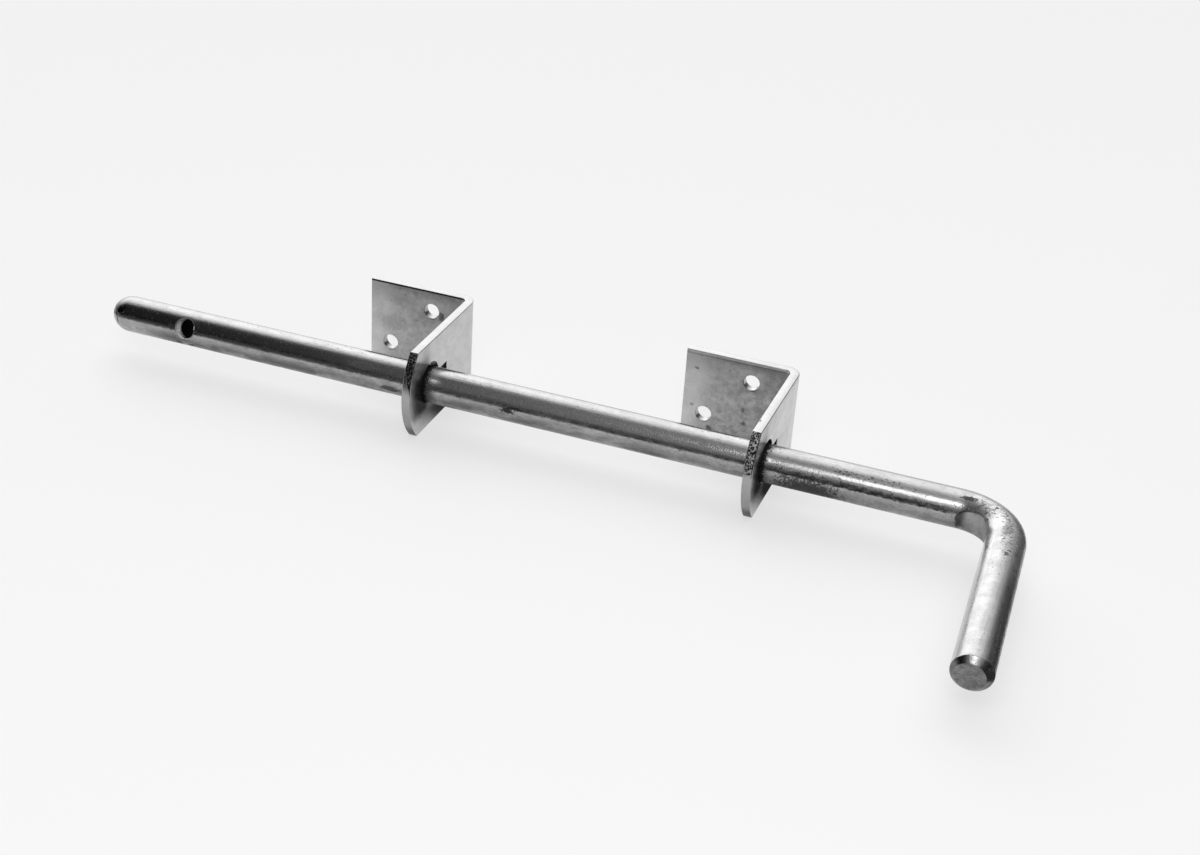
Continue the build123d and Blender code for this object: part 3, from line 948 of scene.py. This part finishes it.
barMaterial = makeBarMaterial(barFinish, barSizes, barCorner)
bar = growMesh("dropBoltBar", bpy.data.meshes.new("barSeed"), makeBarTree(), {**barSizes, "Finish": barMaterial})
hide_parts("drop_bolt")
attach(bar, "bolt")
print("bar made:", len(bar.data.polygons), "faces")


# Brackets: a flat strip with its holes, folded and set twice along the bar
bracketSizes = {
    "Thickness": 0.004,
    "Width": 0.0395,
    "Plate Start": -0.0198,
    "Leg X": 0.0307,
    "Fold Radius": 0.0025,
    "Corner Reach": 0.0619,
    "End Bulge": 0.008,
    "Hole From Gate": 0.0495,
    "Hole Rise": 0.0006,
    "Hole Radius": 0.009,
    "Slot Width": 0.0045,
    "Slot Reach": 0.0173,
    "Slot Corner": 0.0008,
    "Screw Radius": 0.0035,
    "Screw X": 0.010,
    "Screw Z": 0.0099,
    "Edge Roll": 0.00042,
    "Pitch": 0.150,
    "Crisp Turn": radians(34.0),
    "End Facets": 60,
    "Hole Facets": 110,
    "Corner Facets": 6,
    "Screw Facets": 56,
    "Fold Facets": 18,
    "Roll Facets": 3,
}
weldGap = 1e-7


def arcPoints(centre, radius, start, turn, count):
    turns = [start + turn * i / count for i in range(count + 1)]
    return [(centre[0] + radius * cos(a), centre[1] + radius * sin(a)) for a in turns]


def makeFlatStrip(s):
    outer = s["Fold Radius"] + s["Thickness"]
    foldStart = s["Leg X"] - outer
    foldLength = pi / 2 * (s["Fold Radius"] + s["Thickness"] / 2)
    legZero = foldStart + foldLength - outer      # flat place of the leg's y = 0
    half = s["Width"] / 2
    # Outline, anticlockwise
    endRadius = (half * half + s["End Bulge"] ** 2) / (2 * s["End Bulge"])
    sweep = 2 * acos((endRadius - s["End Bulge"]) / endRadius)
    endCentre = (legZero + s["Corner Reach"] + s["End Bulge"] - endRadius, 0.0)
    outline = [(s["Plate Start"], half), (s["Plate Start"], -half)]
    outline += arcPoints(endCentre, endRadius, -sweep / 2, sweep, s["End Facets"])
    loops = [outline]
    # Keyhole: the round hole runs into the slot
    holeX = legZero + s["Hole From Gate"]
    holeZ = s["Hole Rise"]
    slotHalf = s["Slot Width"] / 2
    mouth = pi - abs(acos((s["Hole Radius"] ** 2 - slotHalf ** 2) ** 0.5 / s["Hole Radius"]))
    keyhole = arcPoints((holeX, holeZ), s["Hole Radius"], -mouth, 2 * mouth, s["Hole Facets"])
    corner = s["Slot Corner"]
    cornerX = holeX - s["Slot Reach"] + corner
    keyhole += arcPoints((cornerX, holeZ + slotHalf - corner), corner, pi / 2, pi / 2, s["Corner Facets"])
    keyhole += arcPoints((cornerX, holeZ - slotHalf + corner), corner, pi, pi / 2, s["Corner Facets"])
    loops.append(keyhole)
    for side in (1, -1):
        centre = (side * s["Screw X"], side * s["Screw Z"])
        loops.append(arcPoints(centre, s["Screw Radius"], 0.0, 2 * pi, s["Screw Facets"])[:-1])
    data = bpy.data.curves.new("flatStrip", "CURVE")
    data.dimensions = "2D"
    data.fill_mode = "BOTH"
    data.extrude = s["Thickness"] / 2 - s["Edge Roll"]
    data.bevel_depth = s["Edge Roll"]
    data.bevel_resolution = s["Roll Facets"]
    data.offset = -s["Edge Roll"]
    for loop in loops:
        spline = data.splines.new("POLY")
        spline.points.add(len(loop) - 1)
        for point, (u, v) in zip(spline.points, loop):
            point.co = (u, v, 0.0, 1.0)
        spline.use_cyclic_u = True
    holder = bpy.data.objects.new("flatStrip", data)
    scene.collection.objects.link(holder)
    mesh = bakeMesh(holder)
    bpy.data.objects.remove(holder)
    work = bmesh.new()
    work.from_mesh(mesh)
    bmesh.ops.remove_doubles(work, verts=work.verts, dist=weldGap)
    bmesh.ops.recalc_face_normals(work, faces=work.faces)
    # Cuts across the fold, so it can bend
    for i in range(s["Fold Facets"] + 1):
        cut = foldStart + foldLength * i / s["Fold Facets"]
        everything = work.verts[:] + work.edges[:] + work.faces[:]
        bmesh.ops.bisect_plane(work, geom=everything, dist=weldGap, plane_co=(cut, 0, 0), plane_no=(1, 0, 0))
    # Edge faces are marked, and every point keeps its place in the flat strip
    flat = work.verts.layers.float_vector.new("flatPlace")
    edge = work.faces.layers.int.new("cutFace")
    for vert in work.verts:
        vert[flat] = vert.co.copy()
    for face in work.faces:
        face[edge] = int(abs(face.normal.z) < 0.5)
    work.to_mesh(mesh)
    work.free()
    return mesh


def makeBracketTree(names):
    tree, given, end = startTree("foldedBrackets", {**names, "Skin": None, "Cut": None})
    m, ramp, plus, minus, times, most = nodeTools(tree, "m ramp plus minus times most")

    # Flat place (u, v, w) goes round the fold
    outer = plus(given["Fold Radius"], given["Thickness"])
    foldStart = minus(given["Leg X"], outer)
    middle = plus(given["Fold Radius"], times(given["Thickness"], 0.5))
    foldLength = times(middle, pi / 2)
    u, v, w = splitVector(tree, addNode(tree, "GeometryNodeInputPosition"))
    depth = plus(w, times(given["Thickness"], 0.5))
    past = minus(u, foldStart)
    turn = ramp(past, 0.0, foldLength, 0.0, pi / 2)
    radius = minus(outer, depth)
    x = plus(m("MINIMUM", u, foldStart), times(radius, m("SINE", turn)))
    run = most(minus(past, foldLength), 0.0)
    y = minus(times(radius, m("COSINE", turn)), outer, run)
    place = combineVector(tree, x, y, v)
    fold = addNode(tree, "GeometryNodeSetPosition", Geometry=given["Geometry"], Position=place)
    crisp = crispEdges(tree, fold, given["Crisp Turn"])

    # One bracket at the handle end, one at the tip end
    shift = combineVector(tree, times(given["Pitch"], -1.0), 0.0, 0.0)
    pair = addNode(tree, "GeometryNodeMeshLine", Count=2, Offset=shift)
    copies = addNode(tree, "GeometryNodeInstanceOnPoints", Points=pair, Instance=crisp)
    real = addNode(tree, "GeometryNodeRealizeInstances", Geometry=copies)
    skin = addNode(tree, "GeometryNodeSetMaterial", Geometry=real, Material=given["Skin"])
    marked = addNode(tree, "GeometryNodeInputNamedAttribute", data_type="INT", Name="cutFace")
    plug(tree, addNode(tree, "GeometryNodeSetMaterial", Geometry=skin, Selection=marked, Material=given["Cut"]), end)
    return tree


stripMaterial = makeStripMaterial(stripFinish, bracketSizes)
shearMaterial = makeShearMaterial(stripFinish, bracketSizes)
foldNames = {name: bracketSizes[name] for name in ("Thickness", "Leg X", "Fold Radius", "Pitch", "Crisp Turn")}
brackets = growMesh("bracketPair", makeFlatStrip(bracketSizes), makeBracketTree(foldNames),
                    {**foldNames, "Skin": stripMaterial, "Cut": shearMaterial})
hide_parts("handle_bracket", "tip_bracket")
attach(brackets, "brackets")
print("brackets made:", len(brackets.data.polygons), "faces")
